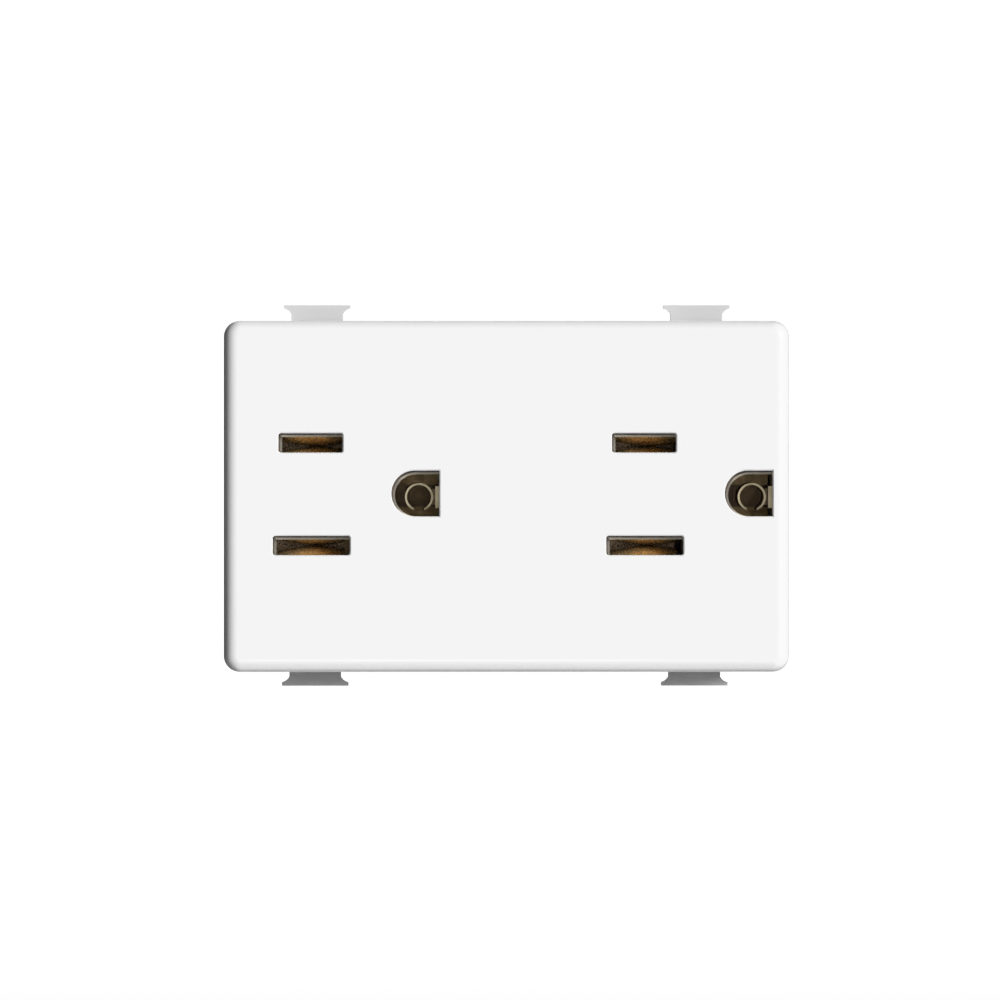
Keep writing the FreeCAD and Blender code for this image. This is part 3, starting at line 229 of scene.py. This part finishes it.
def plated_steel(name, tint, grain, roughness=0.28):
    """Zinc-plated steel: cloudy passivation, fine drawing lines and rubbed edges."""
    paint = Paint(name, tint, roughness, metallic=1.0)
    cloud = paint.noise(1.8, 4, distortion=1.0)
    warm = tuple(c * k for c, k in zip(tint, (0.93, 0.88, 0.78)))
    plate = paint.mix(paint.ramp(cloud, 0.0, 1.0), tint, warm)
    paint.feed("Base Color", paint.mix(paint.edges(0.1), plate, (0.9, 0.9, 0.89)))
    lines = paint.noise(0.1, 2, grain)
    paint.feed("Roughness", paint.ramp(lines, roughness - 0.07, roughness + 0.14))
    paint.bump(lines, 0.003)
    return paint.material


# depths behind which the contact leaves and the earth sleeve are painted darker, as shade deep in their
# pockets
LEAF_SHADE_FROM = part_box("left_hot_contact")[0].y + 2.5 * MM
STEM_LEAD = 1.0 * MM  # the sleeve's stem reaches this far ahead of its rim
SLEEVE_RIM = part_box("left_earth_sleeve")[0].y + STEM_LEAD
FINISHES = {
    "cover_plastic": cover_plastic(),
    "latch_plastic": latch_plastic(),
    "housing_plastic": housing_plastic(),
    "carrier_resin": carrier_resin(),
    "contact_brass": brass(
        "contact_brass", (0.95, 0.74, 0.4), (0.82, 0.6, 0.3), (1, 12, 1), 0.25, 0.8, (LEAF_SHADE_FROM, 4)
    ),
    "sleeve_brass": brass(
        "sleeve_brass", (0.58, 0.5, 0.33), (0.47, 0.4, 0.25), (1, 12, 1), 0.4, 0.7, (SLEEVE_RIM, 0.2)
    ),
    "bus_brass": brass("bus_brass", (0.74, 0.55, 0.3), (0.5, 0.35, 0.18), (14, 1, 1), 0.38),
    "rivet_brass": brass("rivet_brass", (0.4, 0.29, 0.17), (0.3, 0.21, 0.12), (1, 1, 1), 0.4),
    "terminal_steel": plated_steel("terminal_steel", (0.78, 0.77, 0.72), (10, 1, 1)),
    "screw_steel": plated_steel("screw_steel", (0.8, 0.79, 0.75), (1, 8, 1), 0.22),
}


def dress_nodes():
    """Gives every part of the frame the finish that its record slot names."""
    for entry in frame["record"]["subparts"]:
        mesh = nodes[entry["node"]].data
        finish = FINISHES[entry["material_slot"]]
        for index in range(len(mesh.materials)):
            mesh.materials[index] = finish


# ---------------------------------------------------------------- pieces the frame doesn't hold


def mesh_piece(name, points, faces, slot, body):
    """Makes a smooth piece from points and faces, which rides on a body."""
    mesh = bpy.data.meshes.new(name)
    mesh.from_pydata([tuple(p) for p in points], [], faces)
    mesh.validate()
    mesh.polygons.foreach_set("use_smooth", [True] * len(mesh.polygons))
    mesh.materials.append(FINISHES[slot])
    piece = bpy.data.objects.new(name, mesh)
    scene.collection.objects.link(piece)
    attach(piece, body)


def screw_thread(pole):
    """Helical thread on a terminal screw's shank, from the tip to just under the clamping plate."""
    low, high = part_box(f"{pole}_terminal_screw")
    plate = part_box(f"{pole}_clamp_plate")[0].y
    centre_x, centre_z = (low.x + high.x) / 2, (low.z + high.z) / 2
    root, crest, pitch = 1.90 * MM, 1.99 * MM, 0.7 * MM
    plain_tip, plate_gap = 0.7 * MM, 0.1 * MM
    start, finish = low.y + plain_tip, plate - plate_gap
    around, per_turn, sharpness = 28, 8, 2.6
    rows = int((finish - start) / pitch * per_turn)
    points, faces = [], []
    for row in range(rows + 1):
        for step in range(around):
            angle = 2 * math.pi * step / around
            phase = (row / per_turn + step / around) % 1
            fade = min(1.0, row / per_turn, (rows - row) / per_turn)
            ridge = max(0.0, 1 - abs(phase - 0.5) * sharpness) * fade
            radius = root + (crest - root) * ridge
            y = start + (finish - start) * row / rows
            points.append(
                (centre_x + radius * math.cos(angle), y, centre_z + radius * math.sin(angle))
            )
    for row in range(rows):
        for step in range(around):
            following = (step + 1) % around
            a, b = row * around + step, row * around + following
            faces.append((a, b, b + around, a + around))
    mesh_piece(f"{pole}_screw_thread", points, faces, "screw_steel", f"{pole}_screw")


# ---------------------------------------------------------------- studio and camera


WHITE = 1.4  # brightness that shows as full white


def soft_highlights():
    """Keeps brightness as it is up to that of the face, and compresses what is above, up to WHITE."""
    settings = scene.view_settings
    settings.view_transform = "Standard"
    settings.use_curve_mapping = True
    mapping = settings.curve_mapping
    mapping.white_level = (WHITE, WHITE, WHITE)
    combined = mapping.curves[3]
    for brightness, shown in ((0.9, 0.9), (1.1, 0.955)):
        combined.points.new(brightness / WHITE, shown)
    for point in combined.points:
        point.handle_type = "VECTOR"
    mapping.update()


def studio_world():
    """White surroundings for the camera and a dim even fill. Reflections see a soft bright front, and
    a white band behind, above and below the object."""
    world = bpy.data.worlds.new("studio")
    scene.world = world
    world.use_nodes = True
    tree = world.node_tree

    def background(strength):
        made = tree.nodes.new("ShaderNodeBackground")
        made.inputs["Color"].default_value = (1, 1, 1, 1)
        if isinstance(strength, float):
            made.inputs["Strength"].default_value = strength
        else:
            tree.links.new(strength, made.inputs["Strength"])
        return made.outputs[0]

    def choose(switch, otherwise, chosen):
        made = tree.nodes.new("ShaderNodeMixShader")
        for place, source in enumerate((switch, otherwise, chosen)):
            tree.links.new(source, made.inputs[place])
        return made.outputs[0]

    path = tree.nodes.new("ShaderNodeLightPath").outputs
    towards = tree.nodes.new("ShaderNodeTexCoord").outputs["Generated"]
    axes = tree.nodes.new("ShaderNodeSeparateXYZ")
    tree.links.new(towards, axes.inputs[0])

    def glow(axis, start, finish, strength):
        """Brightness that rises from 0 to strength between two values along an axis."""
        made = tree.nodes.new("ShaderNodeMapRange")
        tree.links.new(axes.outputs[axis], made.inputs["Value"])
        made.inputs["From Min"].default_value = start
        made.inputs["From Max"].default_value = finish
        made.inputs["To Min"].default_value = 0.0
        made.inputs["To Max"].default_value = strength
        return made.outputs[0]

    def combine(operation, first, second):
        made = tree.nodes.new("ShaderNodeMath")
        made.operation = operation
        tree.links.new(first, made.inputs[0])
        tree.links.new(second, made.inputs[1])
        return made.outputs[0]

    band = combine("MULTIPLY", glow("X", -0.35, 0.0, 1.0), glow("X", 0.45, 0.05, 1.0))
    rear = combine("MULTIPLY", band, glow("Y", -0.4, 0.2, 0.9))
    around = combine("ADD", rear, glow("Y", 0.0, -0.7, 0.6))
    lit = choose(path["Is Glossy Ray"], background(0.02), background(around))
    seen = choose(path["Is Camera Ray"], lit, background(WHITE))
    tree.links.new(seen, tree.nodes["World Output"].inputs["Surface"])


def direction(azimuth, elevation):
    """Unit vector from the object towards a place. Azimuth 0 is in front, 90 to the right."""
    a, e = math.radians(azimuth), math.radians(elevation)
    return Vector((math.sin(a) * math.cos(e), -math.cos(a) * math.cos(e), math.sin(e)))


def sun(name, azimuth, elevation, strength, spread, mirrored=True):
    """Distant soft light from a direction, spread degrees across. Strength is the brightness that it
    gives a white surface that faces it. A light that isn't mirrored shows in no reflection."""
    light = bpy.data.lights.new(name, "SUN")
    light.energy = strength * math.pi
    light.angle = math.radians(spread)
    lamp = bpy.data.objects.new(name, light)
    lamp.rotation_euler = direction(azimuth, elevation).to_track_quat("Z", "Y").to_euler()
    lamp.visible_glossy = mirrored
    scene.collection.objects.link(lamp)


def strip_light():
    """Small soft strip below the camera, which draws a thin line of light along the lower edge."""
    light = bpy.data.lights.new("strip", "AREA")
    light.shape = "RECTANGLE"
    light.size = 0.06
    light.size_y = 0.006
    light.energy = 0.12
    lamp = bpy.data.objects.new("strip", light)
    elevation, distance = -15.5, 0.5
    lamp.location = direction(-0.3, elevation) * distance
    lamp.rotation_euler = direction(0, elevation).to_track_quat("Z", "Y").to_euler()
    scene.collection.objects.link(lamp)


def studio_floor():
    """Pale floor well below the object. It fades into the surroundings, and casts no light or shadow."""
    drop, radius = 60 * MM, 0.6
    level = cad_box[0].z - drop
    rings = 48
    points = [(0, 0, level)]
    for step in range(rings):
        angle = 2 * math.pi * step / rings
        points.append((radius * math.cos(angle), radius * math.sin(angle), level))
    faces = [(0, 1 + step, 1 + (step + 1) % rings) for step in range(rings)]
    mesh = bpy.data.meshes.new("floor")
    mesh.from_pydata(points, [], faces)
    paint = Paint("floor", (0.8, 0.8, 0.8), 0.7)
    paint.set("Emission Color", (1, 1, 1, 1))
    paint.set("Emission Strength", 0.3)
    distance = paint.node("ShaderNodeVectorMath", {0: paint.place}, operation="LENGTH")
    faded = paint.ramp(distance.outputs["Value"], 1.0, 0.0, radius * 0.45, radius * 0.98)
    paint.feed("Alpha", faded)
    mesh.materials.append(paint.material)
    floor = bpy.data.objects.new("floor", mesh)
    floor.visible_diffuse = False
    floor.visible_glossy = False
    floor.visible_shadow = False
    scene.collection.objects.link(floor)


def studio_camera():
    """Long lens in front of the face, a little left of and above its axis."""
    across, distance = 0.12372, 2.0
    aside, below = 0.82 * MM, 0.44 * MM
    low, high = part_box("front_cover")
    aim = Vector(((low.x + high.x) / 2 - aside, low.y, (low.z + high.z) / 2 - below))
    camera = bpy.data.cameras.new("camera")
    camera.sensor_width = 36.0
    camera.lens = camera.sensor_width * distance / across
    camera.clip_end = 10.0
    made = bpy.data.objects.new("camera", camera)
    towards = direction(-1.0, 0.6)
    made.location = aim + towards * distance
    made.rotation_euler = towards.to_track_quat("Z", "Y").to_euler()
    scene.collection.objects.link(made)
    scene.camera = made


dress_nodes()
for terminal in ("hot", "earth", "neutral"):
    screw_thread(terminal)

studio_world()
sun("key", 44, 13, 1.18, 18)
sun("front", 0, 0, 0.12, 50, mirrored=False)
sun("below", 0, -85, 0.16, 40)
sun("back", 195, 20, 0.85, 40, mirrored=False)
strip_light()
studio_floor()
studio_camera()
soft_highlights()
